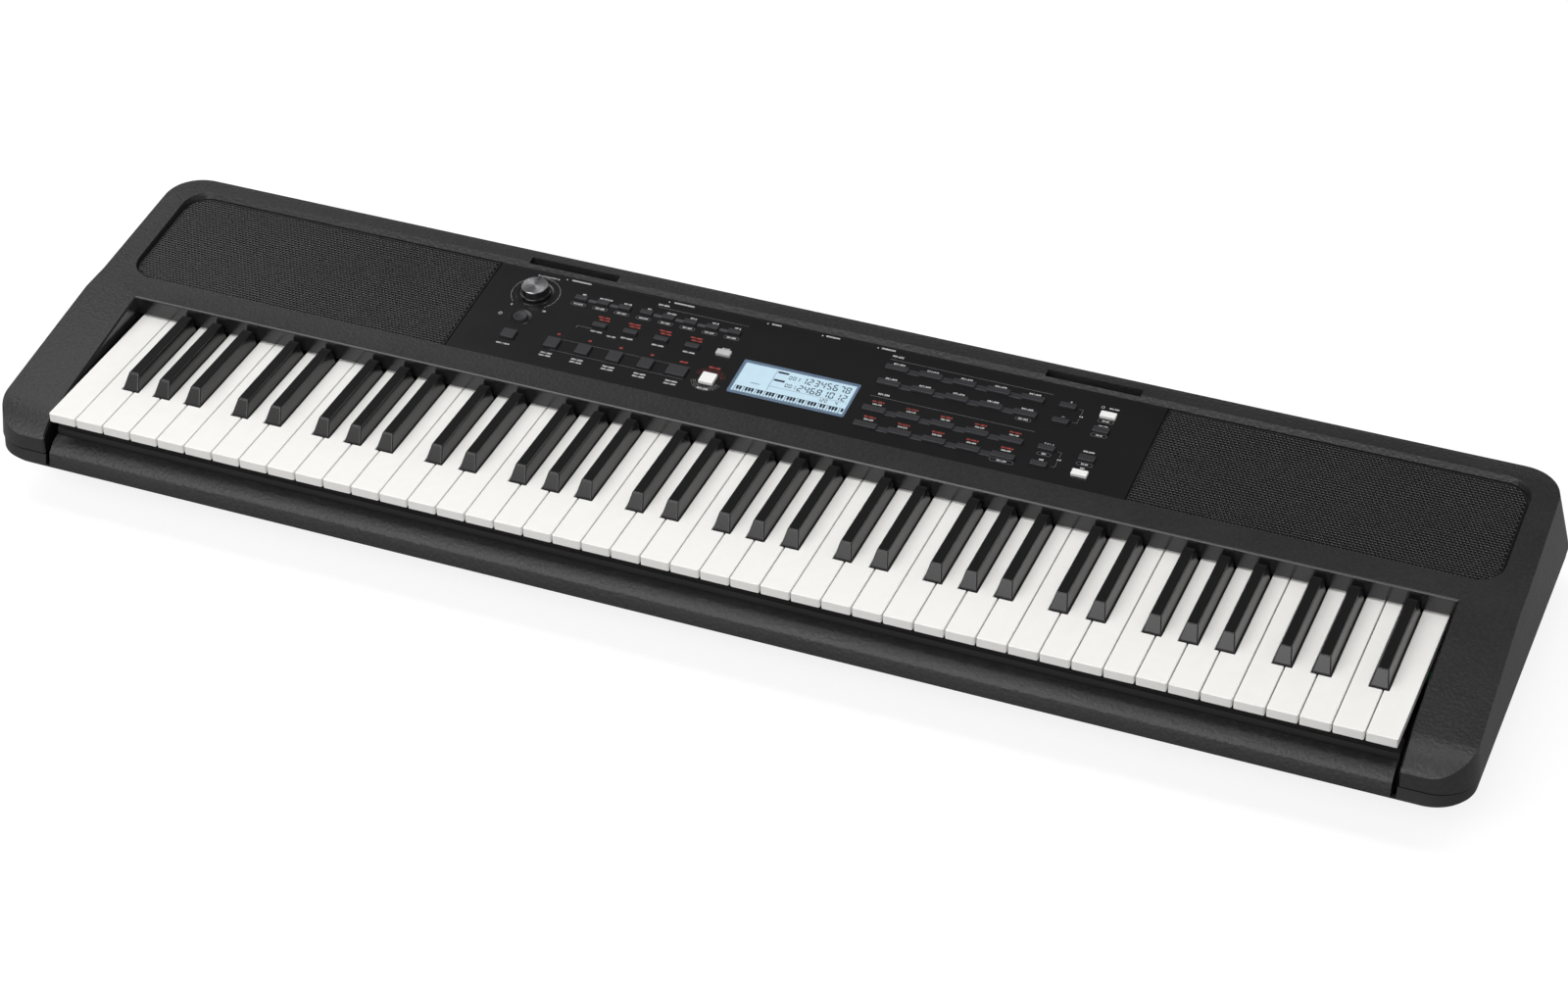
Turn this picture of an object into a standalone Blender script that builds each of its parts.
"""A 76-note portable arranger keyboard.

Lengths are metres.  X runs along the keys from bass to treble, Y from the
player to the rear and Z up.  Sizes are set out from the key datum, the middle
of the front top edge of the white keys, and the datum is lifted so that the
feet stand at Z = 0 under the middle of the case.
"""

import math

import bmesh
import bpy
from mathutils import Matrix, Vector

# Fits and walls
SEAT = 0.00025
SLIDE = 0.0003
WALL = 0.003
OVERRUN = 0.020
TURN_STEPS = 24
DRUM_STEPS = 20
BORE_STEPS = 16
POST_STEPS = 12
PIN_STEPS = 8

# White keys
WHITE_COUNT = 45
WHITE_PITCH = 0.0235
KEY_GAP = 0.001
WHITE_THICKNESS = 0.0079
WHITE_TAIL_THICKNESS = 0.003
WHITE_TAIL = 0.018
WHITE_PIVOT_Y = 0.195
RAIL_DEPTH = 0.010
TRAVEL = 0.010
COMB_ENDS = (0, 5, 12, 19, 26, 33, 40, 45)

# Black keys.  Their side shifts from the white boundaries run up from the
# left edge of the first white key, an E, and repeat each octave.
BLACK_WIDTH = 0.0134
BLACK_SIDE_GAP = 0.0007
BLACK_TOP_WIDTH = 0.0082
BLACK_RISE = 0.0113
BLACK_FRONT = 0.050
BLACK_RAKE = 0.0075
BLACK_REAR = 0.1425
BLACK_EDGE = 0.0008
BLACK_ARM_WIDTH = 0.008
BLACK_RAIL_THICKNESS = 0.0044
BLACK_PIVOT_Y = 0.181
BLACK_TRAVEL = 0.0078
BLACK_SHIFTS = (0.00235, None, -0.0034, 0.0, 0.0034, None, -0.00235)

# Key bed
BED_SHEET = 0.0025
BED_FLOOR = -0.052
BED_FRONT = 0.010
BED_REAR = 0.212
RIDGE_DEPTH = 0.004
STOP_Y = 0.012
STOP_DEPTH = 0.012
STOP_FELT = 0.0025
TABLE_Y = 0.092
TABLE_DEPTH = 0.036
CONTACT_DEPTH = 0.034
RUBBER_Y = 0.103
RUBBER_DEPTH = 0.014
RUBBER_HEIGHT = 0.0042

# Case outline
CHEEK_GAP = 0.00375
CHEEK_WIDTH = 0.051
CASE_FRONT = -0.006
CASE_REAR = 0.3316
REAR_LEAN = math.radians(24.4)
SIDE_LEAN = math.radians(6.7)
CORNER_RADIUS = 0.031
CORNER_STEPS = 6
HEM = -0.035
SHOULDER = 0.006

# Top line of the case, seen from the side
CHEEK_LEVEL_Y = 0.0565
CHEEK_SLOPE = math.radians(10.8)
NOSE_STEEP = math.radians(46)
NOSE_FRONT_Z = -0.0225
NOSE_STEPS = 5
FALLBOARD_Y = 0.145
FALLBOARD_Z = 0.0166
FALLBOARD_FOOT = 0.002
SHELF_Y = 0.1723
SHELF_Z = 0.0172
RIM_Y = 0.288
RIM_Z = 0.031
CREST_Y = 0.298
CREST_Z = 0.0315

# Lower case
BAND_INSET = 0.0007
BAND_HEIGHT = 0.0100
BAND_SWELL = 0.0014
KEEL_HEIGHT = 0.0035
KEEL_INSET = 0.003
FLOOR_Z = -0.0845
FLOOR_FRONT = 0.048
FLOOR_REAR = 0.356
FLOOR_INSET = 0.0175
FLOOR_CORNER = 0.030
FOOT_HEIGHT = 0.004
FOOT_RADIUS = 0.009
FOOT_SIDE_INSET = 0.0835
FOOT_FRONT_INSET = 0.030
FOOT_REAR_INSET = 0.022
BOSS_RADIUS = 0.004
BOSS_SPACING = 0.240
BOSS_YS = (0.034, 0.187)

# Front rail
RAIL_END_GAP = 0.004
RAIL_REAR_Y = 0.008
RAIL_TOP_Z = -0.0249
RAIL_CREASE_Y = -0.0063
RAIL_CREASE_Z = -0.0345
RAIL_FOOT_Y = -0.008
RAIL_FOOT_Z = -0.0455
RAIL_CROWN = 0.0016
RAIL_STEPS = 5

# Panel plane with its sheet, its grilles and the deck under them
PANEL_Y = 0.173
PANEL_Z = 0.01407
PANEL_TILT = math.radians(6.24)
PANEL_DEPTH = 0.1112
PANEL_HALF = 0.2763
SHEET = 0.002
GRILLE_SHEET = 0.0018
GRILLE_MARGIN = 0.0280
GRILLE_CORNER = 0.020
RECESS_SLOPE = 0.62
RECESS_HEIGHT = 0.008
LEDGE = 0.008

# Speakers
SPEAKER_X = 0.409
SPEAKER_V = 0.060
SPEAKER_HOLE = 0.042
FLANGE_RADIUS = 0.047
FLANGE_THICKNESS = 0.002
BASKET_DEPTH = 0.014
BASKET_WALL = 0.0015
BASKET_NECK = 0.022
MAGNET_RADIUS = 0.024
MAGNET_DEPTH = 0.016
CONE_THICKNESS = 0.001
DUST_CAP = 0.010
DUST_CAP_RISE = 0.004

# Display
DISPLAY_WIDTH = 0.096
DISPLAY_DEPTH = 0.0395
DISPLAY_V = 0.0424
LENS_THICKNESS = 0.0016
LENS_PROUD = 0.0003

# Controls, placed up the slope (V) of the panel plane, and across it from the
# panel's ends (INSET) or from the sides of the display (GAP)
CAP_RISE = 0.0022
LINK_RISE = 0.0003
BAR_THICKNESS = 0.0013
BAR_DEPTH = 0.0040
BUTTON_TRAVEL = 0.0012
KNOB_INSET = 0.0408
KNOB_V = 0.0840
KNOB_RADIUS = 0.0122
KNOB_TOP_RADIUS = 0.0108
KNOB_HEIGHT = 0.0078
KNOB_ROOF = 0.002
SKIRT_HEIGHT = 0.00195
KNOB_LIFT = 0.0006
SHAFT_RADIUS = 0.003
POT_WIDTH = 0.016
POWER_INSET = 0.0418
POWER_V = 0.0530
POWER_RADIUS = 0.0056
TOUCH_V = 0.0309
TOUCH_WIDTH = 0.0113
TOUCH_DEPTH = 0.010
RECORD_INSET = 0.0783
RECORD_GAP = 0.0198
RECORD_COUNT = 8
RECORD_V = 0.0890
RECORD_WIDTH = 0.0102
SMALL_DEPTH = 0.0046
LESSON_INSET = 0.1053
LESSON_GAP = 0.0447
LESSON_COUNT = 4
LESSON_V = 0.0629
LESSON_WIDTH = 0.0114
TRANSPORT_INSET = 0.0787
TRANSPORT_GAP = 0.0442
TRANSPORT_COUNT = 5
TRANSPORT_V = 0.0317
TRANSPORT_WIDTH = 0.0111
TRANSPORT_DEPTH = 0.0116
PLAY_WIDTH = 0.0158
MODE_GAP = 0.0182
MODE_V = 0.0308
MODE_WIDTH = 0.0117
TEMPO_V = 0.0628
TEMPO_WIDTH = 0.0118
TEMPO_DEPTH = 0.0058
TONE_GAP = 0.0190
TONE_INSET = 0.0997
TONE_COUNT = 5
TONE_WIDTH = 0.0182
TONE_DEPTH = 0.0056
VOICE_VS = (0.0883, 0.0701)
STYLE_VS = (0.0379, 0.0190)
VALUE_INSET = 0.0718
VALUE_WIDTH = 0.0128
VALUE_DEPTH = 0.0050
MENU_INSET = 0.0397
MENU_WIDTH = 0.0124
MENU_DEPTH = 0.0062
MENU_VS = (0.0190, 0.0364, 0.0700, 0.0878)
VALUE_VS = (0.0193, 0.0379, 0.0704, 0.0886)

# Music-rest slots in the rear rim
SLOT_X = 0.216
SLOT_LENGTH = 0.076
SLOT_Y = 0.2855
SLOT_WIDTH = 0.0070
SLOT_FLOOR = 0.006

# Jack bay and sockets in the rear wall, bass side first
BAY_LEFT = -0.225
BAY_RIGHT = 0.080
BAY_Y = 0.312
BAY_TOP = -0.006
BAY_FOOT = -0.030
USB_X = -0.198
PEDAL_X = -0.118
PHONES_X = -0.0385
AUX_X = 0.0077
INLET_X = 0.0522
SOCKET_WIDTH = 0.014
SOCKET_HEIGHT = 0.0130
SOCKET_DEPTH = 0.018
COLLAR_RADIUS = 0.0056
COLLAR_PROUD = 0.001
JACK_BORE = 0.00325
AUX_BORE = 0.00185
INLET_BORE = 0.0030
INLET_PIN = 0.0010
BORE_DEPTH = 0.015
USB_WIDTH = 0.0120
USB_HEIGHT = 0.0108
USB_SHELL = 0.0012
JACK_BOARD_DEPTH = 0.030

# Boards and batteries
BOARD = 0.0016
MAIN_BOARD_X = -0.150
MAIN_BOARD_Y = 0.275
MAIN_BOARD_WIDTH = 0.190
MAIN_BOARD_DEPTH = 0.085
MAIN_BOARD_LIFT = 0.011
BOARD_BOSS_INSET = 0.008
BATTERY_X = 0.200
BATTERY_Y = 0.268
BATTERY_WIDTH = 0.160
BATTERY_DEPTH = 0.062
BATTERY_HEIGHT = 0.022
DOOR_LIP = 0.005
DOOR_THICKNESS = 0.0018
DOOR_TRAVEL = 0.010
CONTACT_THICKNESS = 0.0008
CONTACT_BULGE = 0.003
CONTACT_RADIUS = 0.004
CONTACT_TIP = 0.002
CELL_SPACING = 0.030

# Finishes: colour, roughness and metallic value
CASE_FINISH = ((0.022, 0.022, 0.024), 0.55, 0.0)
PANEL_FINISH = ((0.012, 0.012, 0.013), 0.40, 0.0)
GRILLE_FINISH = ((0.008, 0.008, 0.008), 0.50, 0.8)
IVORY_FINISH = ((0.86, 0.85, 0.82), 0.18, 0.0)
EBONY_FINISH = ((0.010, 0.010, 0.011), 0.22, 0.0)
CAP_FINISH = ((0.045, 0.045, 0.048), 0.50, 0.0)
WHITE_CAP_FINISH = ((0.80, 0.80, 0.80), 0.45, 0.0)
GREY_CAP_FINISH = ((0.50, 0.50, 0.50), 0.45, 0.0)
KNOB_FINISH = ((0.20, 0.20, 0.20), 0.30, 0.9)
LENS_FINISH = ((0.45, 0.62, 0.80), 0.10, 0.0)
MODULE_FINISH = ((0.30, 0.36, 0.42), 0.40, 0.0)
BED_FINISH = ((0.10, 0.10, 0.10), 0.60, 0.0)
BOARD_FINISH = ((0.02, 0.10, 0.04), 0.50, 0.0)
RUBBER_FINISH = ((0.05, 0.05, 0.05), 0.85, 0.0)
FELT_FINISH = ((0.03, 0.03, 0.03), 0.95, 0.0)
STEEL_FINISH = ((0.55, 0.55, 0.55), 0.35, 1.0)
PAPER_FINISH = ((0.03, 0.03, 0.03), 0.90, 0.0)

KEYS_HALF = WHITE_COUNT * WHITE_PITCH / 2
OPENING_HALF = KEYS_HALF + CHEEK_GAP
CASE_HALF = OPENING_HALF + CHEEK_WIDTH
GRILLE_HALF = CASE_HALF - GRILLE_MARGIN
SHEET_FOOT = -SHEET - SEAT
DECK_FOOT = SHEET_FOOT - WALL
BAR_FOOT = DECK_FOOT - SEAT + SLIDE + BUTTON_TRAVEL
BAR_TOP = BAR_FOOT + BAR_THICKNESS
KNOB_X = KNOB_INSET - PANEL_HALF
POWER_X = POWER_INSET - PANEL_HALF
MODE_X = -DISPLAY_WIDTH / 2 - MODE_GAP
FLAT = Matrix()
SIDEWAYS = Matrix(((0, 0, 1, 0), (1, 0, 0, 0), (0, 1, 0, 0), (0, 0, 0, 1)))
PANEL = Matrix.Translation((0, PANEL_Y, PANEL_Z)) @ Matrix.Rotation(PANEL_TILT, 4, "X")


def clear_scene():
    for obj in list(bpy.data.objects):
        bpy.data.objects.remove(obj, do_unlink=True)


def new_collection(name):
    collection = bpy.data.collections.new(name)
    bpy.context.scene.collection.children.link(collection)
    return collection


def new_datum():
    """The key datum, lifted so that the feet reach Z = 0."""
    datum = bpy.data.objects.new("key_datum", None)
    datum.location = (0, -(RAIL_FOOT_Y + FLOOR_REAR) / 2, FOOT_HEIGHT - FLOOR_Z)
    bpy.context.scene.collection.objects.link(datum)
    return datum


clear_scene()
PARTS = new_collection("arranger_keyboard")
CUTTERS = new_collection("cutters")
DATUM = new_datum()


def solid(name, bm, frame=FLAT, origin=(0, 0, 0), group=PARTS):
    """Turn a bmesh drawn in a frame into an object with its own origin there."""
    origin = Vector(origin)
    bmesh.ops.translate(bm, verts=bm.verts, vec=-origin)
    mesh = bpy.data.meshes.new(name)
    bm.to_mesh(mesh)
    bm.free()
    mesh.shade_smooth()
    mesh.set_sharp_from_angle(angle=math.radians(30))
    obj = bpy.data.objects.new(name, mesh)
    group.objects.link(obj)
    obj.parent = DATUM
    obj.matrix_basis = frame @ Matrix.Translation(origin)
    return obj


def cutter(name, bm, frame=FLAT):
    obj = solid(name, bm, frame, group=CUTTERS)
    obj.hide_render = True
    obj.display_type = "WIRE"
    return obj


def combine(obj, other, operation):
    modifier = obj.modifiers.new(other.name, "BOOLEAN")
    modifier.operation = operation
    modifier.solver = "EXACT"
    modifier.object = other


def finish(obj, look):
    colour, roughness, metallic = look
    material = bpy.data.materials.new(obj.name)
    material.use_nodes = True
    shader = material.node_tree.nodes["Principled BSDF"]
    shader.inputs["Base Color"].default_value = (*colour, 1)
    shader.inputs["Roughness"].default_value = roughness
    shader.inputs["Metallic"].default_value = metallic
    obj.data.materials.append(material)
    return obj


def add_block(bm, low, high):
    low = Vector(low)
    high = Vector(high)
    matrix = Matrix.Translation((low + high) / 2) @ Matrix.Diagonal((*(high - low), 1))
    bmesh.ops.create_cube(bm, size=1, matrix=matrix)


def block(low, high):
    bm = bmesh.new()
    add_block(bm, low, high)
    return bm


def add_drum(bm, foot, radius, height, top_radius=None, steps=DRUM_STEPS, turn=FLAT):
    """A cylinder or cone that stands on its foot, before it is turned."""
    matrix = Matrix.Translation(foot) @ turn @ Matrix.Translation((0, 0, height / 2))
    top = radius if top_radius is None else top_radius
    bmesh.ops.create_cone(bm, cap_ends=True, segments=steps, radius1=radius, radius2=top,
                          depth=height, matrix=matrix)


def prism(loops, low, high):
    """A flat outline with its holes, made thick from low to high."""
    curve = bpy.data.curves.new("outline", "CURVE")
    curve.dimensions = "2D"
    curve.fill_mode = "BOTH"
    curve.extrude = (high - low) / 2
    for loop in loops:
        spline = curve.splines.new("POLY")
        spline.points.add(len(loop) - 1)
        for point, (across, along) in zip(spline.points, loop):
            point.co = (across, along, 0, 1)
        spline.use_cyclic_u = True
    drawing = bpy.data.objects.new("outline", curve)
    bpy.context.scene.collection.objects.link(drawing)
    graph = bpy.context.evaluated_depsgraph_get()
    mesh = bpy.data.meshes.new_from_object(drawing.evaluated_get(graph))
    bpy.data.objects.remove(drawing)
    bm = bmesh.new()
    bm.from_mesh(mesh)
    bmesh.ops.remove_doubles(bm, verts=bm.verts, dist=0.000001)
    bmesh.ops.dissolve_limit(bm, angle_limit=math.radians(0.1), verts=bm.verts, edges=bm.edges)
    bmesh.ops.recalc_face_normals(bm, faces=bm.faces)
    bmesh.ops.translate(bm, verts=bm.verts, vec=(0, 0, (low + high) / 2))
    return bm


def loft(rings):
    """Skin closed rings of equal point count, from the lowest one up."""
    bm = bmesh.new()
    loops = [[bm.verts.new(point) for point in ring] for ring in rings]
    count = len(loops[0])
    for lower, upper in zip(loops, loops[1:]):
        for start in range(count):
            end = (start + 1) % count
            bm.faces.new((lower[start], lower[end], upper[end], upper[start]))
    bm.faces.new(reversed(loops[0]))
    bm.faces.new(loops[-1])
    return bm


def turned(name, profile, frame, origin, look):
    """Spin a profile, drawn down its outer side, about the axis of a frame."""
    mesh = bpy.data.meshes.new(name)
    points = [(radius, 0, height) for radius, height in profile]
    edges = [(index, index + 1) for index in range(len(points) - 1)]
    mesh.from_pydata(points, edges, [])
    obj = bpy.data.objects.new(name, mesh)
    PARTS.objects.link(obj)
    obj.parent = DATUM
    obj.matrix_basis = frame @ Matrix.Translation(origin)
    screw = obj.modifiers.new("turn", "SCREW")
    screw.steps = TURN_STEPS
    screw.render_steps = TURN_STEPS
    screw.use_merge_vertices = True
    screw.merge_threshold = 0.00001
    return finish(obj, look)


def rectangle(left, right, front, rear):
    return [(left, front), (right, front), (right, rear), (left, rear)]


def rounded(half, front, rear, radius):
    """A rectangle about X = 0 with round corners, anticlockwise."""
    centres = ((half - radius, front + radius), (half - radius, rear - radius),
               (radius - half, rear - radius), (radius - half, front + radius))
    points = []
    for quarter, (x, y) in enumerate(centres):
        for step in range(CORNER_STEPS + 1):
            angle = math.radians(90 * (quarter - 1 + step / CORNER_STEPS))
            points.append((x + radius * math.cos(angle), y + radius * math.sin(angle)))
    return points


def circle(x, y, radius):
    angles = [math.tau * step / TURN_STEPS for step in range(TURN_STEPS)]
    return [(x + radius * math.cos(angle), y + radius * math.sin(angle)) for angle in angles]


def at_height(ring, z):
    return [(x, y, z) for x, y in ring]


def top_ring(z, inset=0.0):
    """Plan of the upper case at a height, drawn in by an inset."""
    half = CASE_HALF - (z - HEM) * math.tan(SIDE_LEAN) - inset
    rear = CASE_REAR - (z - HEM) * math.tan(REAR_LEAN) - inset
    return at_height(rounded(half, CASE_FRONT + inset, rear, CORNER_RADIUS - inset), z)


def nose_line():
    """The rounded nose, which meets the sloping cheek at a tangent."""
    rise = math.tan(CHEEK_SLOPE)
    reach = math.sin(NOSE_STEEP) - math.sin(CHEEK_SLOPE)
    drop = math.cos(CHEEK_SLOPE) - math.cos(NOSE_STEEP)
    level = NOSE_FRONT_Z + (CHEEK_LEVEL_Y - CASE_FRONT) * rise
    radius = level / (reach * rise - drop)
    points = []
    for step in range(NOSE_STEPS + 1):
        angle = NOSE_STEEP + (CHEEK_SLOPE - NOSE_STEEP) * step / NOSE_STEPS
        y = CASE_FRONT + radius * (math.sin(NOSE_STEEP) - math.sin(angle))
        z = NOSE_FRONT_Z + radius * (math.cos(angle) - math.cos(NOSE_STEEP))
        points.append((y, z))
    return points


def case_profile():
    """Side outline of the upper case, run out past the front, rear and hem."""
    front = CASE_FRONT - OVERRUN
    rear = CASE_REAR + OVERRUN
    foot = HEM - 2 * OVERRUN
    tops = nose_line() + [(CHEEK_LEVEL_Y, 0), (FALLBOARD_Y, FALLBOARD_Z), (SHELF_Y, SHELF_Z),
                          (RIM_Y, RIM_Z), (CREST_Y, CREST_Z)]
    return [(front, foot), (rear, foot), (rear, CREST_Z)] + tops[::-1] + [(front, NOSE_FRONT_Z)]


def on_panel(v, height):
    """Y and Z of a point up the slope of the panel plane."""
    point = PANEL @ Vector((0, v, height))
    return point.y, point.z


def cavity_profile():
    """Side outline of the hollow, which steps down under the panel deck."""
    front = CASE_FRONT - OVERRUN
    rear = CASE_REAR + OVERRUN
    foot = HEM - 2 * OVERRUN
    roof = [(y, z - WALL) for y, z in nose_line()]
    roof += [(CHEEK_LEVEL_Y, -WALL), (FALLBOARD_Y, FALLBOARD_Z - WALL)]
    roof += [(PANEL_Y - 2 * WALL, FALLBOARD_Z - WALL), on_panel(-WALL, DECK_FOOT)]
    roof += [on_panel(PANEL_DEPTH + WALL, DECK_FOOT), (RIM_Y + WALL, RIM_Z - WALL)]
    return [(front, foot), (rear, foot), (rear, RIM_Z - WALL)] + roof[::-1] + [
        (front, NOSE_FRONT_Z - WALL)]


def slot_blocks(margin, floor):
    bm = bmesh.new()
    for side in (-1, 1):
        middle = side * SLOT_X
        low = (middle - SLOT_LENGTH / 2 - margin, SLOT_Y - margin, floor)
        high = (middle + SLOT_LENGTH / 2 + margin, SLOT_Y + SLOT_WIDTH + margin, CREST_Z + OVERRUN)
        add_block(bm, low, high)
    return bm


def bay_block(margin):
    low = (BAY_LEFT - margin, BAY_Y - margin, BAY_FOOT - margin)
    high = (BAY_RIGHT + margin, CASE_REAR + OVERRUN, BAY_TOP + margin)
    return block(low, high)


def case_hollow():
    """The inside of the upper case, less the inner walls and pockets that stay."""
    hollow = cutter("case_hollow", loft([top_ring(HEM - OVERRUN, WALL), top_ring(CREST_Z, WALL)]))
    combine(hollow, cutter("hollow_profile", prism([cavity_profile()], -CASE_HALF, CASE_HALF),
                           SIDEWAYS), "INTERSECT")
    fallboard = block((-CASE_HALF, FALLBOARD_Y, FALLBOARD_FOOT),
                      (CASE_HALF, FALLBOARD_Y + WALL, CREST_Z))
    combine(hollow, cutter("fallboard_wall", fallboard), "DIFFERENCE")
    cheeks = bmesh.new()
    for side in (-1, 1):
        inner, outer = sorted((side * OPENING_HALF, side * (OPENING_HALF + WALL)))
        add_block(cheeks, (inner, CASE_FRONT - OVERRUN, HEM - 2 * OVERRUN),
                  (outer, FALLBOARD_Y + WALL, CREST_Z))
    combine(hollow, cutter("cheek_walls", cheeks), "DIFFERENCE")
    combine(hollow, cutter("slot_pockets", slot_blocks(WALL, SLOT_FLOOR - WALL)), "DIFFERENCE")
    combine(hollow, cutter("bay_pocket", bay_block(WALL)), "DIFFERENCE")
    return hollow


def recess_rings():
    """The bed of panel and grilles, with a rear wall that slopes back."""
    rings = []
    for height, rear_shift in ((SHEET_FOOT, 0), (0, 0), (RECESS_HEIGHT, RECESS_HEIGHT * RECESS_SLOPE)):
        outline = rounded(GRILLE_HALF + SLIDE, -SLIDE, PANEL_DEPTH + SLIDE + rear_shift, GRILLE_CORNER)
        rings.append(at_height(outline, height))
    return rings


def deck_holes():
    """The opening under the control panel and the two speaker holes."""
    bm = bmesh.new()
    half = PANEL_HALF - LEDGE
    add_block(bm, (-half, LEDGE, DECK_FOOT - WALL), (half, PANEL_DEPTH - LEDGE, 0))
    for side in (-1, 1):
        foot = (side * SPEAKER_X, SPEAKER_V, DECK_FOOT - WALL)
        add_drum(bm, foot, SPEAKER_HOLE, 3 * WALL, steps=TURN_STEPS)
    return bm


def socket_holes():
    """Round holes for the jack collars and a square one for the data port."""
    bm = bmesh.new()
    middle = (BAY_TOP + BAY_FOOT) / 2
    back = Matrix.Rotation(math.radians(-90), 4, "X")
    for x in (PEDAL_X, PHONES_X, AUX_X, INLET_X):
        add_drum(bm, (x, BAY_Y - 2 * WALL, middle), COLLAR_RADIUS + SLIDE, 3 * WALL, turn=back)
    half = USB_WIDTH / 2 + SLIDE
    rise = USB_HEIGHT / 2 + SLIDE
    add_block(bm, (USB_X - half, BAY_Y - 2 * WALL, middle - rise),
              (USB_X + half, BAY_Y + WALL, middle + rise))
    return bm


def top_case():
    """The upper shell: cheeks, fallboard, panel recess, rim and rear wall."""
    case = solid("top_case", loft([top_ring(HEM - OVERRUN), top_ring(CREST_Z + OVERRUN)]))
    profile = prism([case_profile()], -CASE_HALF - OVERRUN, CASE_HALF + OVERRUN)
    combine(case, cutter("top_profile", profile, SIDEWAYS), "INTERSECT")
    shoulder = case.modifiers.new("shoulder", "BEVEL")
    shoulder.width = SHOULDER
    shoulder.segments = 2
    shoulder.limit_method = "ANGLE"
    shoulder.angle_limit = math.radians(50)
    below = block((-CASE_HALF - OVERRUN, CASE_FRONT - OVERRUN, HEM - 3 * OVERRUN),
                  (CASE_HALF + OVERRUN, CASE_REAR + 2 * OVERRUN, HEM))
    combine(case, cutter("below_hem", below), "DIFFERENCE")
    combine(case, case_hollow(), "DIFFERENCE")
    opening = block((-OPENING_HALF, CASE_FRONT - OVERRUN, HEM - OVERRUN),
                    (OPENING_HALF, FALLBOARD_Y, CREST_Z))
    combine(case, cutter("key_opening", opening), "DIFFERENCE")
    combine(case, cutter("panel_recess", loft(recess_rings()), PANEL), "DIFFERENCE")
    combine(case, cutter("deck_holes", deck_holes(), PANEL), "DIFFERENCE")
    combine(case, cutter("music_rest_slots", slot_blocks(0, SLOT_FLOOR)), "DIFFERENCE")
    combine(case, cutter("jack_bay", bay_block(0)), "DIFFERENCE")
    combine(case, cutter("socket_holes", socket_holes()), "DIFFERENCE")
    return finish(case, CASE_FINISH)


def lower_rings(inset, floor_lift):
    """Plan rings of the lower case from its floor up to the hem."""
    slant = (FLOOR_FRONT - CASE_FRONT) / (HEM - BAND_HEIGHT - KEEL_HEIGHT - FLOOR_Z)
    front_inset = inset * math.hypot(1, slant)
    floor_shift = floor_lift * slant
    band = HEM - SEAT
    rings = (
        (FLOOR_Z + floor_lift, CASE_HALF - FLOOR_INSET, FLOOR_FRONT - floor_shift + front_inset,
         FLOOR_REAR, FLOOR_CORNER),
        (HEM - BAND_HEIGHT - KEEL_HEIGHT, CASE_HALF - KEEL_INSET,
         CASE_FRONT + BAND_SWELL + front_inset, rear_at(HEM - BAND_HEIGHT - KEEL_HEIGHT), CORNER_RADIUS),
        (HEM - BAND_HEIGHT, CASE_HALF - BAND_SWELL, CASE_FRONT - BAND_SWELL + inset,
         rear_at(HEM - BAND_HEIGHT), CORNER_RADIUS),
        (band, CASE_HALF - BAND_INSET, CASE_FRONT + BAND_INSET + inset, rear_at(band), CORNER_RADIUS),
    )
    return [at_height(rounded(half - inset, front, rear - inset, radius - inset), z)
            for z, half, front, rear, radius in rings]


def rear_at(z):
    """Rear face of the lower case, straight from the hem to the floor."""
    share = (HEM - z) / (HEM - FLOOR_Z)
    return CASE_REAR + (FLOOR_REAR - CASE_REAR) * share - BAND_INSET


def boss_places():
    count = int(CASE_HALF // BOSS_SPACING)
    return [(step * BOSS_SPACING, y) for step in range(-count, count + 1) for y in BOSS_YS]


def board_boss_places():
    half = MAIN_BOARD_WIDTH / 2 - BOARD_BOSS_INSET
    depth = MAIN_BOARD_DEPTH / 2 - BOARD_BOSS_INSET
    return [(MAIN_BOARD_X + side * half, MAIN_BOARD_Y + end * depth)
            for side in (-1, 1) for end in (-1, 1)]


def bosses():
    """Posts that rise from the floor to the key bed and the main board."""
    bm = bmesh.new()
    foot = FLOOR_Z - WALL
    for x, y in boss_places():
        add_drum(bm, (x, y, foot), BOSS_RADIUS, BED_FLOOR - SEAT - foot, steps=POST_STEPS)
    board_foot = FLOOR_Z + MAIN_BOARD_LIFT + WALL
    for x, y in board_boss_places():
        add_drum(bm, (x, y, foot), BOSS_RADIUS, board_foot - SEAT - foot, steps=POST_STEPS)
    return bm


def well_block(margin):
    """The battery well, drawn out by a margin, without its door."""
    half = BATTERY_WIDTH / 2 + margin
    depth = BATTERY_DEPTH / 2 + margin
    return block((BATTERY_X - half, BATTERY_Y - depth, FLOOR_Z - OVERRUN),
                 (BATTERY_X + half, BATTERY_Y + depth, FLOOR_Z + BATTERY_HEIGHT + margin))


def door_block(margin, top):
    """The door's recess, longer than the door by the way it slides."""
    half = BATTERY_WIDTH / 2 + DOOR_LIP + margin
    depth = BATTERY_DEPTH / 2 + DOOR_LIP + margin
    return block((BATTERY_X - half, BATTERY_Y - depth, FLOOR_Z - OVERRUN),
                 (BATTERY_X + half, BATTERY_Y + depth + DOOR_TRAVEL, top))


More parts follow.
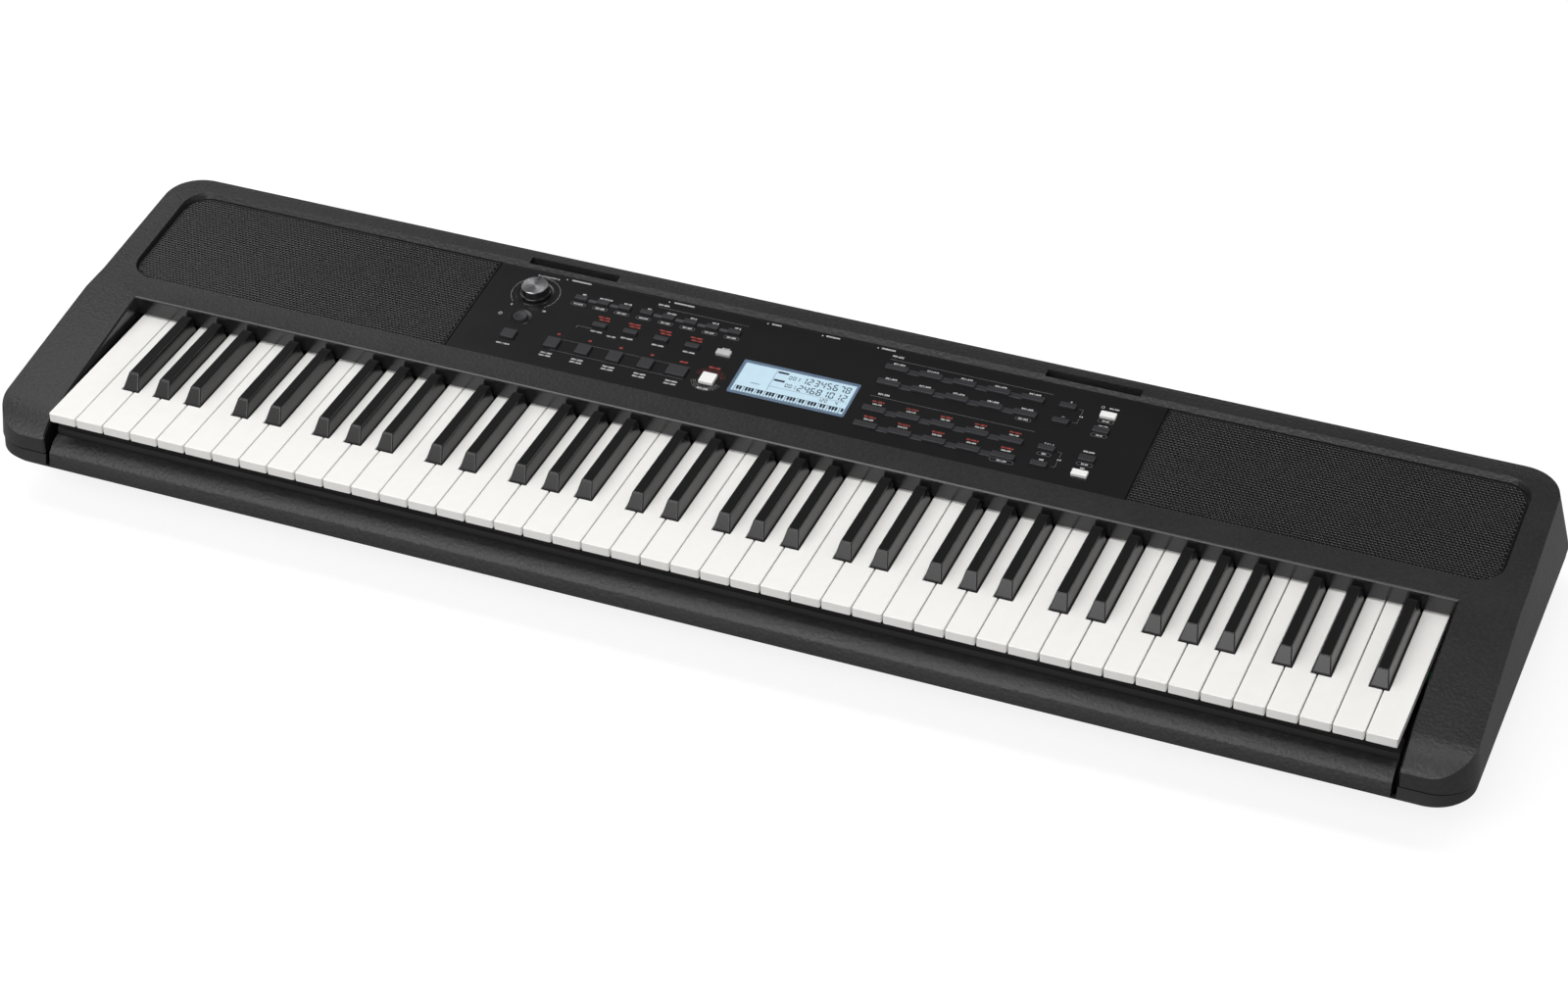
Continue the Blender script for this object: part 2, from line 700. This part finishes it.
def bottom_case():
    """The lower shell with its bosses, the battery well and the rail's bed."""
    case = solid("bottom_case", loft(lower_rings(0, 0)))
    rings = lower_rings(WALL, WALL)
    above = [(x, y, z + OVERRUN) for x, y, z in rings[-1]]
    hollow = cutter("lower_hollow", loft(rings + [above]))
    combine(hollow, cutter("bosses", bosses()), "DIFFERENCE")
    combine(hollow, cutter("well_walls", well_block(WALL)), "DIFFERENCE")
    door_top = FLOOR_Z + DOOR_THICKNESS + SEAT
    combine(hollow, cutter("door_ledge", door_block(SLIDE + WALL, door_top + WALL)), "DIFFERENCE")
    combine(case, hollow, "DIFFERENCE")
    bed = block((-OPENING_HALF, CASE_FRONT - OVERRUN, RAIL_FOOT_Z - SEAT),
                (OPENING_HALF, RAIL_REAR_Y, HEM + OVERRUN))
    combine(case, cutter("rail_bed", bed), "DIFFERENCE")
    combine(case, cutter("battery_well", well_block(0)), "DIFFERENCE")
    combine(case, cutter("door_recess", door_block(SLIDE, door_top)), "DIFFERENCE")
    return finish(case, CASE_FINISH)


def battery_door():
    half = BATTERY_WIDTH / 2 + DOOR_LIP
    depth = BATTERY_DEPTH / 2 + DOOR_LIP
    plate = block((BATTERY_X - half, BATTERY_Y - depth, FLOOR_Z),
                  (BATTERY_X + half, BATTERY_Y + depth, FLOOR_Z + DOOR_THICKNESS))
    return finish(solid("battery_door", plate, origin=(BATTERY_X, BATTERY_Y, FLOOR_Z)), CASE_FINISH)


def battery_contact(name, side):
    """A sprung contact strip at one end of the well, with a bulge for each row."""
    end = BATTERY_X + side * (BATTERY_WIDTH / 2 - SEAT)
    face = end - side * CONTACT_THICKNESS
    low, high = sorted((end, face))
    foot = FLOOR_Z + DOOR_THICKNESS + WALL
    top = FLOOR_Z + BATTERY_HEIGHT - WALL
    strip = solid(name, block((low, BATTERY_Y - CELL_SPACING / 2 - 2 * CONTACT_RADIUS, foot),
                              (high, BATTERY_Y + CELL_SPACING / 2 + 2 * CONTACT_RADIUS, top)))
    bulges = bmesh.new()
    turn = Matrix.Rotation(math.radians(-90 * side), 4, "Y")
    for row in (-1, 1):
        root = (end - side * CONTACT_THICKNESS / 2, BATTERY_Y + row * CELL_SPACING / 2, (foot + top) / 2)
        add_drum(bulges, root, CONTACT_RADIUS, CONTACT_BULGE, CONTACT_TIP, POST_STEPS, turn)
    combine(strip, cutter(name + "_bulges", bulges), "UNION")
    return finish(strip, STEEL_FINISH)


def foot(name, side, y):
    bm = bmesh.new()
    x = side * (CASE_HALF - FOOT_SIDE_INSET)
    add_drum(bm, (x, y, FLOOR_Z - FOOT_HEIGHT), FOOT_RADIUS, FOOT_HEIGHT - SEAT)
    return finish(solid(name, bm), RUBBER_FINISH)


def arc(start, end, bulge, steps):
    """Points on a round arch from start to end, raised by bulge at its middle."""
    start = Vector(start)
    end = Vector(end)
    chord = end - start
    half = chord.length / 2
    radius = (half ** 2 + bulge ** 2) / (2 * bulge)
    along = chord.normalized()
    outward = Vector((-along.y, along.x))
    centre = (start + end) / 2 - outward * (radius - bulge)
    sweep = math.asin(half / radius)
    points = []
    for step in range(steps + 1):
        angle = sweep * (2 * step / steps - 1)
        points.append(tuple(centre + radius * (along * math.sin(angle) + outward * math.cos(angle))))
    return points


def front_rail():
    """The rail below the key fronts, with a crowned top and a crisp crease."""
    crown = arc((RAIL_CREASE_Y, RAIL_CREASE_Z), (RAIL_REAR_Y, RAIL_TOP_Z), RAIL_CROWN, RAIL_STEPS)
    outline = [(RAIL_REAR_Y, RAIL_FOOT_Z)] + crown[::-1] + [(RAIL_FOOT_Y, RAIL_FOOT_Z)]
    half = OPENING_HALF - RAIL_END_GAP
    return finish(solid("front_rail", prism([outline], -half, half), SIDEWAYS), CASE_FINISH)


def black_shift(boundary):
    """Side shift of the black key at a white boundary, or None for no key."""
    if boundary in (0, WHITE_COUNT):
        return None
    return BLACK_SHIFTS[boundary % len(BLACK_SHIFTS)]


def black_x(boundary):
    return boundary * WHITE_PITCH - KEYS_HALF + black_shift(boundary)


def black_boundaries(first, last):
    return [boundary for boundary in range(first + 1, last) if black_shift(boundary) is not None]


def white_side():
    """Side outline of a white key: full front, thin tail over the black rail, rail."""
    rail_front = WHITE_PIVOT_Y - RAIL_DEPTH / 2
    rail_rear = WHITE_PIVOT_Y + RAIL_DEPTH / 2
    tail_front = rail_front - WHITE_TAIL
    return [(0, -WHITE_THICKNESS), (tail_front, -WHITE_THICKNESS), (tail_front, -WHITE_TAIL_THICKNESS),
            (rail_front, -WHITE_TAIL_THICKNESS), (rail_front, -WHITE_THICKNESS),
            (rail_rear, -WHITE_THICKNESS), (rail_rear, 0), (0, 0)]


def white_slot(boundary):
    """Plan of the slot between two white keys, wider beside a black key."""
    x = boundary * WHITE_PITCH - KEYS_HALF
    left = x - KEY_GAP / 2
    right = x + KEY_GAP / 2
    end = WHITE_PIVOT_Y - RAIL_DEPTH / 2 + KEY_GAP
    if black_shift(boundary) is None:
        return rectangle(left, right, -OVERRUN, end)
    front = BLACK_FRONT - KEY_GAP
    cut_left = black_x(boundary) - BLACK_WIDTH / 2 - BLACK_SIDE_GAP
    cut_right = black_x(boundary) + BLACK_WIDTH / 2 + BLACK_SIDE_GAP
    return [(left, -OVERRUN), (right, -OVERRUN), (right, front), (cut_right, front), (cut_right, end),
            (cut_left, end), (cut_left, front), (left, front)]


def white_keys(number, first, last):
    """One comb of white keys that share a rail, hinged at their rear."""
    left = first * WHITE_PITCH - KEYS_HALF + KEY_GAP / 2
    right = last * WHITE_PITCH - KEYS_HALF - KEY_GAP / 2
    name = f"white_keys_{number}"
    bar = prism([white_side()], left, right)
    bar.transform(SIDEWAYS)
    comb = solid(name, bar, origin=((left + right) / 2, WHITE_PIVOT_Y, -WHITE_THICKNESS / 2))
    loops = [white_slot(boundary) for boundary in range(first + 1, last)]
    slots = prism(loops, -WHITE_THICKNESS - OVERRUN, OVERRUN)
    combine(comb, cutter(name + "_slots", slots), "DIFFERENCE")
    return finish(comb, IVORY_FINISH)


def black_cap_rings(x):
    """One black key: a straight foot, leaning sides and an eased top edge."""
    slope = (BLACK_WIDTH - BLACK_TOP_WIDTH) / 2 / BLACK_RISE
    rake = BLACK_RAKE / BLACK_RISE
    shoulder = BLACK_RISE - BLACK_EDGE
    levels = ((-WHITE_THICKNESS, 0, 0), (0, 0, 0), (shoulder, shoulder * slope, shoulder * rake),
              (BLACK_RISE, BLACK_RISE * slope + BLACK_EDGE / 2, BLACK_RAKE + BLACK_EDGE))
    rings = []
    for z, narrowing, setback in levels:
        half = BLACK_WIDTH / 2 - narrowing
        rings.append(at_height(rectangle(x - half, x + half, BLACK_FRONT + setback, BLACK_REAR), z))
    return rings


def black_frame_outline(places):
    """Plan of the rail under the white tails, with an arm to each black key."""
    half = BLACK_ARM_WIDTH / 2
    rail_front = BLACK_PIVOT_Y - RAIL_DEPTH / 2
    rail_rear = BLACK_PIVOT_Y + RAIL_DEPTH / 2
    arm_front = BLACK_REAR - BLACK_ARM_WIDTH / 2
    points = [(places[0] - half, rail_rear)]
    for x in places:
        points += [(x - half, rail_front), (x - half, arm_front),
                   (x + half, arm_front), (x + half, rail_front)]
    points.append((places[-1] + half, rail_rear))
    return points[:1] + points[2:-2] + points[-1:]


def black_rail_foot():
    return -WHITE_THICKNESS - BLACK_EDGE


def black_keys(number, first, last):
    places = [black_x(boundary) for boundary in black_boundaries(first, last)]
    rail_foot = black_rail_foot()
    rail_top = rail_foot + BLACK_RAIL_THICKNESS
    pivot = ((places[0] + places[-1]) / 2, BLACK_PIVOT_Y, (rail_foot + rail_top) / 2)
    name = f"black_keys_{number}"
    comb = solid(name, prism([black_frame_outline(places)], rail_foot, rail_top), origin=pivot)
    caps = bmesh.new()
    for x in places:
        cap = loft(black_cap_rings(x))
        mesh = bpy.data.meshes.new("cap")
        cap.to_mesh(mesh)
        cap.free()
        caps.from_mesh(mesh)
    combine(comb, cutter(name + "_caps", caps), "UNION")
    return finish(comb, EBONY_FINISH)


def pressed_foot(y):
    """Just below the lowest fully pressed key at a place along its length."""
    white = (WHITE_PIVOT_Y - y) * TRAVEL / WHITE_PIVOT_Y
    black = (BLACK_PIVOT_Y - y) * BLACK_TRAVEL / (BLACK_PIVOT_Y - BLACK_FRONT)
    if y < BLACK_FRONT:
        return -WHITE_THICKNESS - white - SLIDE
    return -WHITE_THICKNESS - max(white, black) - SLIDE


def bed_outline():
    """Side outline of the key bed: floor, stop flange, contact table and ridges."""
    base = BED_FLOOR + BED_SHEET
    white_ridge = -WHITE_THICKNESS - SEAT
    black_ridge = black_rail_foot() - SEAT
    table = pressed_foot(RUBBER_Y) - RUBBER_HEIGHT - BOARD - 2 * SEAT
    stem = TABLE_Y + TABLE_DEPTH / 2 - BED_SHEET / 2
    flange = pressed_foot(STOP_Y) - STOP_FELT - SEAT
    flange_rear = STOP_Y + STOP_DEPTH + (STOP_Y - BED_FRONT)
    points = [(BED_FRONT, BED_FLOOR), (BED_REAR, BED_FLOOR), (BED_REAR, base)]
    for y, top in ((WHITE_PIVOT_Y, white_ridge), (BLACK_PIVOT_Y, black_ridge)):
        front = y - RIDGE_DEPTH / 2
        rear = y + RIDGE_DEPTH / 2
        points += [(rear, base), (rear, top), (front, top), (front, base)]
    points += [(stem + BED_SHEET, base), (stem + BED_SHEET, table - BED_SHEET),
               (TABLE_Y + TABLE_DEPTH, table - BED_SHEET), (TABLE_Y + TABLE_DEPTH, table),
               (TABLE_Y, table), (TABLE_Y, table - BED_SHEET), (stem, table - BED_SHEET), (stem, base)]
    points += [(BED_FRONT + BED_SHEET, base), (BED_FRONT + BED_SHEET, flange - BED_SHEET),
               (flange_rear, flange - BED_SHEET), (flange_rear, flange), (BED_FRONT, flange)]
    return points


def key_chassis():
    bed = prism([bed_outline()], -KEYS_HALF, KEYS_HALF)
    return finish(solid("key_chassis", bed, SIDEWAYS), BED_FINISH)


def strip(name, front, depth, top, height, look):
    """A flat strip that runs under all the keys."""
    bm = block((-KEYS_HALF, front, top - height), (KEYS_HALF, front + depth, top))
    return finish(solid(name, bm), look)


def key_strips():
    felt_top = pressed_foot(STOP_Y)
    strip("key_stop_felt", STOP_Y, STOP_DEPTH, felt_top, STOP_FELT, FELT_FINISH)
    rubber_top = pressed_foot(RUBBER_Y)
    strip("key_rubber_strip", RUBBER_Y, RUBBER_DEPTH, rubber_top, RUBBER_HEIGHT, RUBBER_FINISH)
    board_front = TABLE_Y + (TABLE_DEPTH - CONTACT_DEPTH) / 2
    board_top = rubber_top - RUBBER_HEIGHT - SEAT
    strip("key_contact_board", board_front, CONTACT_DEPTH, board_top, BOARD, BOARD_FINISH)


def row(first, last, count, v, width, depth):
    """Button caps evenly along a row, each as place, slope place, width and depth."""
    pitch = (last - first) / (count - 1)
    return [(first + pitch * step, v, width, depth) for step in range(count)]


def left_row(inset, gap, count, v, width, depth):
    """A row between the panel's bass end and the display."""
    return row(inset - PANEL_HALF, -DISPLAY_WIDTH / 2 - gap, count, v, width, depth)


def column(inset, places, width, depth):
    """Button caps one behind another, set in from the panel's treble end."""
    return [(PANEL_HALF - inset, v, width, depth) for v in places]


def record_caps():
    return left_row(RECORD_INSET, RECORD_GAP, RECORD_COUNT, RECORD_V, RECORD_WIDTH, SMALL_DEPTH)


def lesson_caps():
    return left_row(LESSON_INSET, LESSON_GAP, LESSON_COUNT, LESSON_V, LESSON_WIDTH, SMALL_DEPTH)


def transport_caps():
    """Square caps, of which the last and widest starts the music."""
    caps = left_row(TRANSPORT_INSET, TRANSPORT_GAP, TRANSPORT_COUNT, TRANSPORT_V, TRANSPORT_WIDTH,
                    TRANSPORT_DEPTH)
    play_x = caps[-1][0]
    return caps[:-1] + [(play_x, TRANSPORT_V, PLAY_WIDTH, TRANSPORT_DEPTH)]


def tone_caps(v):
    """A row between the display and the columns at the treble end."""
    first = DISPLAY_WIDTH / 2 + TONE_GAP
    return row(first, PANEL_HALF - TONE_INSET, TONE_COUNT, v, TONE_WIDTH, TONE_DEPTH)


def separate_strips():
    """Strips whose caps come through a hole each, joined below the sheet."""
    return {
        "accent_button": ([(POWER_X, TOUCH_V, TOUCH_WIDTH, TOUCH_DEPTH)], CAP_FINISH),
        "record_buttons": (record_caps(), CAP_FINISH),
        "lesson_buttons": (lesson_caps(), CAP_FINISH),
        "transport_buttons": (transport_caps(), CAP_FINISH),
        "mode_button": ([(MODE_X, MODE_V, MODE_WIDTH, MODE_WIDTH)], WHITE_CAP_FINISH),
        "tempo_button": ([(MODE_X, TEMPO_V, TEMPO_WIDTH, TEMPO_DEPTH)], GREY_CAP_FINISH),
        "value_buttons": (column(VALUE_INSET, VALUE_VS, VALUE_WIDTH, VALUE_DEPTH), CAP_FINISH),
        "menu_buttons": (column(MENU_INSET, MENU_VS, MENU_WIDTH, MENU_DEPTH), WHITE_CAP_FINISH),
    }


def linked_strips():
    """Strips that show low links between their caps, in one long hole each."""
    return {
        "voice_buttons_upper": tone_caps(VOICE_VS[0]),
        "voice_buttons_lower": tone_caps(VOICE_VS[1]),
        "style_buttons_upper": tone_caps(STYLE_VS[0]),
        "style_buttons_lower": tone_caps(STYLE_VS[1]),
    }


def hull(caps, across=0.0, along=0.0):
    """The rectangle around some caps, drawn out to each side."""
    left = min(x - width / 2 for x, v, width, depth in caps) - across
    right = max(x + width / 2 for x, v, width, depth in caps) + across
    front = min(v - depth / 2 for x, v, width, depth in caps) - along
    rear = max(v + depth / 2 for x, v, width, depth in caps) + along
    return left, right, front, rear


def panel_holes():
    """Every opening of the control panel as a closed loop."""
    holes = [circle(KNOB_X, KNOB_V, SHAFT_RADIUS + SLIDE),
             circle(POWER_X, POWER_V, POWER_RADIUS + SLIDE)]
    for caps, look in separate_strips().values():
        holes += [rectangle(*hull([cap], SLIDE, SLIDE)) for cap in caps]
    for caps in linked_strips().values():
        holes.append(rectangle(*hull(caps, SLIDE, SLIDE)))
    half = DISPLAY_WIDTH / 2 + SLIDE
    depth = DISPLAY_DEPTH / 2 + SLIDE
    holes.append(rectangle(-half, half, DISPLAY_V - depth, DISPLAY_V + depth))
    return holes


def control_panel():
    outline = rectangle(-PANEL_HALF, PANEL_HALF, 0, PANEL_DEPTH)
    sheet = prism([outline] + panel_holes(), -SHEET, 0)
    return finish(solid("control_panel", sheet, PANEL), PANEL_FINISH)


def grille_outline(side):
    """Plan of one grille: square beside the panel, round at its outer corners."""
    inner = PANEL_HALF + SLIDE
    corners = [(x, v) for x, v in rounded(GRILLE_HALF, 0, PANEL_DEPTH, GRILLE_CORNER) if x > 0]
    points = corners + [(inner, PANEL_DEPTH), (inner, 0)]
    if side > 0:
        return points
    return [(-x, v) for x, v in reversed(points)]


def grille(name, side):
    sheet = prism([grille_outline(side)], -SHEET, GRILLE_SHEET - SHEET)
    return finish(solid(name, sheet, PANEL), GRILLE_FINISH)


def button_axis(caps):
    left, right, front, rear = hull(caps)
    return (left + right) / 2, (front + rear) / 2, 0


def bar_outline(caps):
    """The bar below the sheet that ties a strip of caps together."""
    left, right, front, rear = hull(caps)
    if right - left >= rear - front:
        middle = (front + rear) / 2
        return left, right, middle - BAR_DEPTH / 2, middle + BAR_DEPTH / 2
    middle = (left + right) / 2
    return middle - BAR_DEPTH / 2, middle + BAR_DEPTH / 2, front, rear


def cap_blocks(caps, foot_z):
    bm = bmesh.new()
    for cap in caps:
        left, right, front, rear = hull([cap])
        add_block(bm, (left, front, foot_z), (right, rear, CAP_RISE))
    return bm


def button_strip(name, caps, look):
    """Caps joined under the sheet by a bar, moving as one pressed body."""
    axis = button_axis(caps)
    if len(caps) == 1:
        return finish(solid(name, cap_blocks(caps, BAR_FOOT), PANEL, axis), look)
    left, right, front, rear = bar_outline(caps)
    bar = solid(name, block((left, front, BAR_FOOT), (right, rear, BAR_TOP)), PANEL, axis)
    middle = (BAR_TOP + BAR_FOOT) / 2
    combine(bar, cutter(name + "_caps", cap_blocks(caps, middle), PANEL), "UNION")
    return finish(bar, look)


def linked_strip(name, caps):
    """Caps on one low web that fills the panel's hole between them."""
    left, right, front, rear = hull(caps)
    web = solid(name, block((left, front, BAR_FOOT), (right, rear, LINK_RISE)), PANEL,
                button_axis(caps))
    combine(web, cutter(name + "_caps", cap_blocks(caps, BAR_TOP), PANEL), "UNION")
    return finish(web, CAP_FINISH)


def power_button():
    bm = bmesh.new()
    add_drum(bm, (POWER_X, POWER_V, BAR_FOOT), POWER_RADIUS, CAP_RISE - BAR_FOOT, steps=TURN_STEPS)
    return finish(solid("power_button", bm, PANEL, (POWER_X, POWER_V, 0)), CAP_FINISH)


def display():
    half = DISPLAY_WIDTH / 2
    depth = DISPLAY_DEPTH / 2
    low = LENS_PROUD - LENS_THICKNESS
    lens = block((-half, DISPLAY_V - depth, low), (half, DISPLAY_V + depth, LENS_PROUD))
    finish(solid("display_lens", lens, PANEL), LENS_FINISH)
    module = block((-half, DISPLAY_V - depth, DECK_FOOT), (half, DISPLAY_V + depth, low - SEAT))
    finish(solid("display_module", module, PANEL), MODULE_FINISH)


def panel_board():
    """The board under all the buttons, held against the underside of the deck."""
    half = PANEL_HALF - LEDGE / 2
    top = DECK_FOOT - SEAT
    board = block((-half, LEDGE / 2, top - BOARD), (half, PANEL_DEPTH - LEDGE / 2, top))
    return finish(solid("panel_board", board, PANEL), BOARD_FINISH)


def volume_pot():
    """The rotary pot on the panel board, with its shaft up through the sheet."""
    half = POT_WIDTH / 2
    body = solid("volume_pot", block((KNOB_X - half, KNOB_V - half, DECK_FOOT),
                                     (KNOB_X + half, KNOB_V + half, SHEET_FOOT)), PANEL)
    shaft = bmesh.new()
    foot_z = (DECK_FOOT + SHEET_FOOT) / 2
    shaft_top = KNOB_LIFT + KNOB_HEIGHT - KNOB_ROOF - SLIDE
    add_drum(shaft, (KNOB_X, KNOB_V, foot_z), SHAFT_RADIUS, shaft_top - foot_z)
    combine(body, cutter("pot_shaft", shaft, PANEL), "UNION")
    return finish(body, STEEL_FINISH)


def volume_knob():
    """A spun cap on a wider skirt, bored from below for the pot's shaft."""
    bore = SHAFT_RADIUS + SLIDE
    roof = KNOB_HEIGHT - KNOB_ROOF
    profile = [(0, KNOB_HEIGHT), (KNOB_TOP_RADIUS - SLIDE, KNOB_HEIGHT),
               (KNOB_TOP_RADIUS, KNOB_HEIGHT - SLIDE), (KNOB_TOP_RADIUS, SKIRT_HEIGHT),
               (KNOB_RADIUS, SKIRT_HEIGHT), (KNOB_RADIUS, 0), (bore, 0), (bore, roof), (0, roof)]
    return turned("volume_knob", profile, PANEL, (KNOB_X, KNOB_V, KNOB_LIFT), KNOB_FINISH)


def speaker_basket(name, side):
    """Flange, cone frame and magnet of one speaker, hung under the deck."""
    frame_foot = -FLANGE_THICKNESS - BASKET_DEPTH
    magnet_foot = frame_foot - MAGNET_DEPTH
    inner = SPEAKER_HOLE - BASKET_WALL
    neck = BASKET_NECK - BASKET_WALL
    dish = [(0, frame_foot + BASKET_WALL), (neck, frame_foot + BASKET_WALL),
            (inner, -FLANGE_THICKNESS), (inner, 0)]
    outside = [(FLANGE_RADIUS, 0), (FLANGE_RADIUS, -FLANGE_THICKNESS), (SPEAKER_HOLE, -FLANGE_THICKNESS),
               (BASKET_NECK, frame_foot), (MAGNET_RADIUS, frame_foot), (MAGNET_RADIUS, magnet_foot),
               (0, magnet_foot)]
    place = (side * SPEAKER_X, SPEAKER_V, DECK_FOOT - SEAT)
    return turned(name, dish + outside, PANEL, place, STEEL_FINISH)


def speaker_cone(name, side):
    """A paper cone with a round dust cap, seated inside its basket."""
    rim = SPEAKER_HOLE - BASKET_WALL - SLIDE
    foot_radius = BASKET_NECK - BASKET_WALL - SLIDE
    foot_z = -FLANGE_THICKNESS - BASKET_DEPTH + BASKET_WALL + SLIDE
    top = [(0, foot_z + DUST_CAP_RISE + CONE_THICKNESS), (DUST_CAP, foot_z + CONE_THICKNESS),
           (foot_radius, foot_z + CONE_THICKNESS), (rim - CONE_THICKNESS, 0), (rim, 0)]
    under = [(rim, -FLANGE_THICKNESS), (foot_radius, foot_z), (DUST_CAP, foot_z),
             (0, foot_z + DUST_CAP_RISE)]
    place = (side * SPEAKER_X, SPEAKER_V, DECK_FOOT - SEAT)
    return turned(name, top + under, PANEL, place, PAPER_FINISH)


def socket_block(x, height):
    """The moulded body of a socket, against the inner face of the bay wall."""
    middle = (BAY_TOP + BAY_FOOT) / 2
    rear = BAY_Y - WALL - SEAT
    half = SOCKET_WIDTH / 2
    return block((x - half, rear - SOCKET_DEPTH, middle - height / 2),
                 (x + half, rear, middle + height / 2))


def rearward(radius, x, y, length, steps=DRUM_STEPS):
    """A round bar from y towards the rear, at the height of the sockets."""
    bm = bmesh.new()
    turn = Matrix.Rotation(math.radians(-90), 4, "X")
    add_drum(bm, (x, y, (BAY_TOP + BAY_FOOT) / 2), radius, length, steps=steps, turn=turn)
    return bm


def round_socket(name, x, bore, look):
    """A jack socket: body, collar through the wall and a bore from behind."""
    body = solid(name, socket_block(x, SOCKET_HEIGHT), origin=(x, BAY_Y, (BAY_TOP + BAY_FOOT) / 2))
    root = BAY_Y - 2 * WALL
    mouth = BAY_Y + COLLAR_PROUD
    combine(body, cutter(name + "_collar", rearward(COLLAR_RADIUS, x, root, mouth - root)), "UNION")
    hole = rearward(bore, x, mouth - BORE_DEPTH, BORE_DEPTH + WALL, BORE_STEPS)
    combine(body, cutter(name + "_bore", hole), "DIFFERENCE")
    return finish(body, look)


def dc_inlet():
    """The supply inlet, a round socket with a centre pin."""
    inlet = round_socket("dc_inlet", INLET_X, INLET_BORE, CAP_FINISH)
    root = BAY_Y + COLLAR_PROUD - BORE_DEPTH - WALL
    pin = rearward(INLET_PIN, INLET_X, root, BORE_DEPTH, PIN_STEPS)
    combine(inlet, cutter("inlet_pin", pin), "UNION")
    return inlet


def usb_port():
    """A square data port: a metal shell with an open mouth."""
    middle = (BAY_TOP + BAY_FOOT) / 2
    front = BAY_Y - WALL - SOCKET_DEPTH
    mouth = BAY_Y + COLLAR_PROUD
    half = USB_WIDTH / 2
    rise = USB_HEIGHT / 2
    shell = block((USB_X - half, front, middle - rise), (USB_X + half, mouth, middle + rise))
    port = solid("usb_port", shell, origin=(USB_X, BAY_Y, middle))
    hole = block((USB_X - half + USB_SHELL, mouth - BORE_DEPTH, middle - rise + USB_SHELL),
                 (USB_X + half - USB_SHELL, mouth + WALL, middle + rise - USB_SHELL))
    combine(port, cutter("usb_mouth", hole), "DIFFERENCE")
    return finish(port, STEEL_FINISH)


def jack_board():
    """The board that carries the sockets behind the bay wall."""
    top = (BAY_TOP + BAY_FOOT) / 2 - SOCKET_HEIGHT / 2 - SEAT
    rear = BAY_Y - WALL - SEAT
    board = block((BAY_LEFT, rear - JACK_BOARD_DEPTH, top - BOARD), (BAY_RIGHT, rear, top))
    return finish(solid("jack_board", board), BOARD_FINISH)


def main_board():
    """The sound board on its four bosses in the lower case."""
    foot_z = FLOOR_Z + WALL + MAIN_BOARD_LIFT
    half = MAIN_BOARD_WIDTH / 2
    depth = MAIN_BOARD_DEPTH / 2
    board = block((MAIN_BOARD_X - half, MAIN_BOARD_Y - depth, foot_z),
                  (MAIN_BOARD_X + half, MAIN_BOARD_Y + depth, foot_z + BOARD))
    return finish(solid("main_board", board), BOARD_FINISH)


def build_case():
    top_case()
    bottom_case()
    front_rail()
    battery_door()
    battery_contact("battery_contact_left", -1)
    battery_contact("battery_contact_right", 1)
    for side, hand in ((-1, "left"), (1, "right")):
        foot(f"foot_front_{hand}", side, FLOOR_FRONT + FOOT_FRONT_INSET)
        foot(f"foot_rear_{hand}", side, FLOOR_REAR - FOOT_REAR_INSET)
        grille(f"grille_{hand}", side)
        speaker_basket(f"speaker_basket_{hand}", side)
        speaker_cone(f"speaker_cone_{hand}", side)


def build_keys():
    key_chassis()
    key_strips()
    for number, (first, last) in enumerate(zip(COMB_ENDS, COMB_ENDS[1:]), start=1):
        white_keys(number, first, last)
        black_keys(number, first, last)


def build_controls():
    control_panel()
    display()
    panel_board()
    volume_pot()
    volume_knob()
    power_button()
    for name, (caps, look) in separate_strips().items():
        button_strip(name, caps, look)
    for name, caps in linked_strips().items():
        linked_strip(name, caps)


def build_electronics():
    main_board()
    jack_board()
    usb_port()
    round_socket("sustain_jack", PEDAL_X, JACK_BORE, CAP_FINISH)
    round_socket("headphone_jack", PHONES_X, JACK_BORE, CAP_FINISH)
    round_socket("aux_jack", AUX_X, AUX_BORE, CAP_FINISH)
    dc_inlet()


build_case()
build_keys()
build_controls()
build_electronics()
